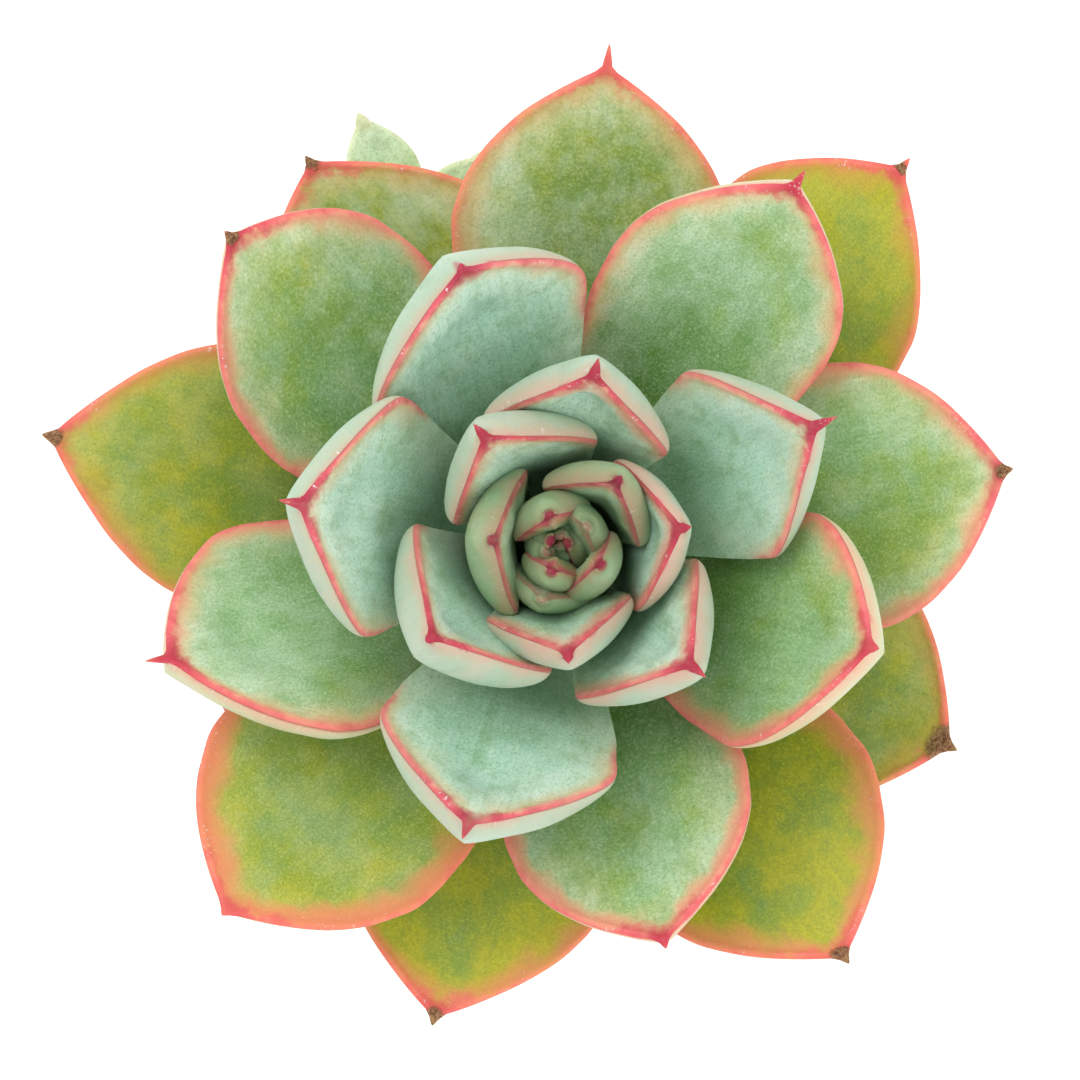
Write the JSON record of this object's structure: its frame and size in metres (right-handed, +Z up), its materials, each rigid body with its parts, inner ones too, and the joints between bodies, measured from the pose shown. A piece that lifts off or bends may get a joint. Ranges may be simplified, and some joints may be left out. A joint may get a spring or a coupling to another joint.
{
  "type": "potted succulent",
  "caption": "Echeveria-type rosette of fleshy pointed leaves on a short stem, with a small offset beside it, growing in potting mix in a plain round terracotta pot.",
  "frame": {"origin": "middle of the pot's underside, at the height of the surface it stands on; the box around the whole object is centred above it in X and Y", "axes": "+Z up along the pot's axis; +X to the right and +Y away from a viewer who looks straight down on the rosette with the long top leaf pointing away"},
  "size_m": [0.1134, 0.1153, 0.1244],
  "materials": {
    "leaf_outer": "waxy living leaf, olive-yellow with a coral margin",
    "leaf_middle": "waxy living leaf, mid green with a pink-red margin",
    "leaf_heart": "waxy living leaf with a pale bloom, blue-green with a rose-red margin",
    "stem": "matte, slightly corky",
    "soil": "loose, matte potting mix",
    "pot": "unglazed fired clay, matte"
  },
  "bodies": {
    "root": {"leaf_01": "leaf_outer", "leaf_02": "leaf_outer", "leaf_03": "leaf_outer", "leaf_04": "leaf_outer", "leaf_05": "leaf_outer", "leaf_06": "leaf_outer", "leaf_07": "leaf_outer", "leaf_08": "leaf_outer", "leaf_09": "leaf_middle", "leaf_10": "leaf_middle", "leaf_11": "leaf_middle", "leaf_12": "leaf_middle", "leaf_13": "leaf_middle", "leaf_14": "leaf_heart", "leaf_15": "leaf_heart", "leaf_16": "leaf_heart", "leaf_17": "leaf_heart", "leaf_18": "leaf_heart", "leaf_19": "leaf_heart", "leaf_20": "leaf_heart", "leaf_21": "leaf_heart", "leaf_22": "leaf_heart", "leaf_23": "leaf_heart", "leaf_24": "leaf_heart", "leaf_25": "leaf_heart", "leaf_26": "leaf_heart", "leaf_27": "leaf_heart", "leaf_28": "leaf_heart", "leaf_29": "leaf_heart", "leaf_30": "leaf_heart", "leaf_31": "leaf_heart", "offset_leaf_1": "leaf_heart", "offset_leaf_2": "leaf_heart", "offset_leaf_3": "leaf_heart", "offset_leaf_4": "leaf_heart", "offset_leaf_5": "leaf_heart", "offset_leaf_6": "leaf_heart", "offset_leaf_7": "leaf_heart", "offset_runner": "stem", "stem": "stem", "soil": "soil", "pot": "pot"}
  },
  "joints": []
}
